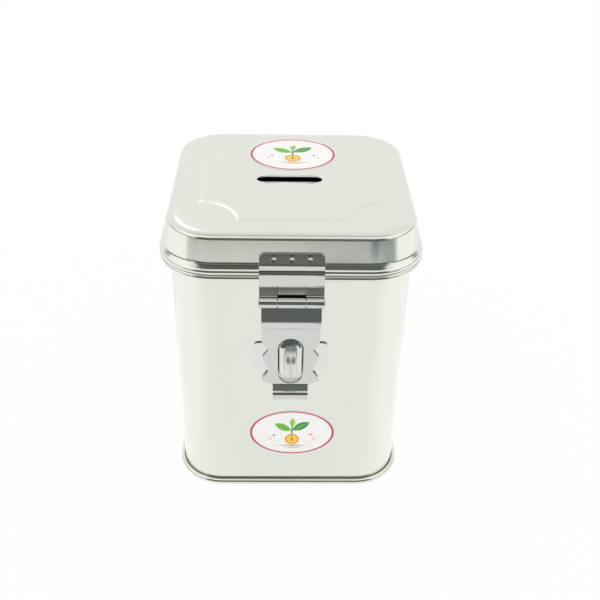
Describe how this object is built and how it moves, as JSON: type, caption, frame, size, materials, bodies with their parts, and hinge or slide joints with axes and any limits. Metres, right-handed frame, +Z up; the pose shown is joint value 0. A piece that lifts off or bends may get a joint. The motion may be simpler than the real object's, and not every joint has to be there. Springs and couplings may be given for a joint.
{
  "type": "lockable money box",
  "caption": "Steel coin box with rounded corners, a hinged lid with a coin slot, and a front hasp over a staple that takes a small padlock.",
  "frame": {"origin": "middle of the bottom face that the box stands on", "axes": "+Z up through the lid, +X to the right seen from the front, -Y out of the front with the hasp"},
  "size_m": [0.1142, 0.1268, 0.1402],
  "materials": {
    "satin_steel": "fine satin polish",
    "latch_steel": "bright polish",
    "steel_wire": "drawn wire",
    "label_film": null
  },
  "bodies": {
    "box": {"body_shell": "satin_steel", "body_rim_wire": "steel_wire", "base_pan": "satin_steel", "front_label": "label_film", "staple_plate": "latch_steel", "staple_eye": "latch_steel", "left_hinge_body_leaf": "latch_steel", "right_hinge_body_leaf": "latch_steel", "left_hinge_pin": "steel_wire", "right_hinge_pin": "steel_wire"},
    "lid": {"lid_shell": "satin_steel", "lid_rim_wire": "steel_wire", "top_label": "label_film", "latch_leaf": "latch_steel", "latch_pin": "steel_wire", "left_hinge_lid_leaf": "latch_steel", "right_hinge_lid_leaf": "latch_steel"},
    "hasp": {"latch_strap": "latch_steel"}
  },
  "joints": [
    {"name": "lid_hinge", "type": "hinge", "parent": "box", "child": "lid", "pos_m": [0, 0.06116, 0.12295], "axis": [-1, 0, 0], "range_deg": [0, 100]},
    {"name": "hasp_hinge", "type": "hinge", "parent": "lid", "child": "hasp", "pos_m": [0, -0.06116, 0.1128], "axis": [-1, 0, 0], "range_deg": [0, 170]}
  ],
  "couplings": [
    {"joint": "hasp_hinge", "follows": "lid_hinge", "ratio": 1.7}
  ]
}
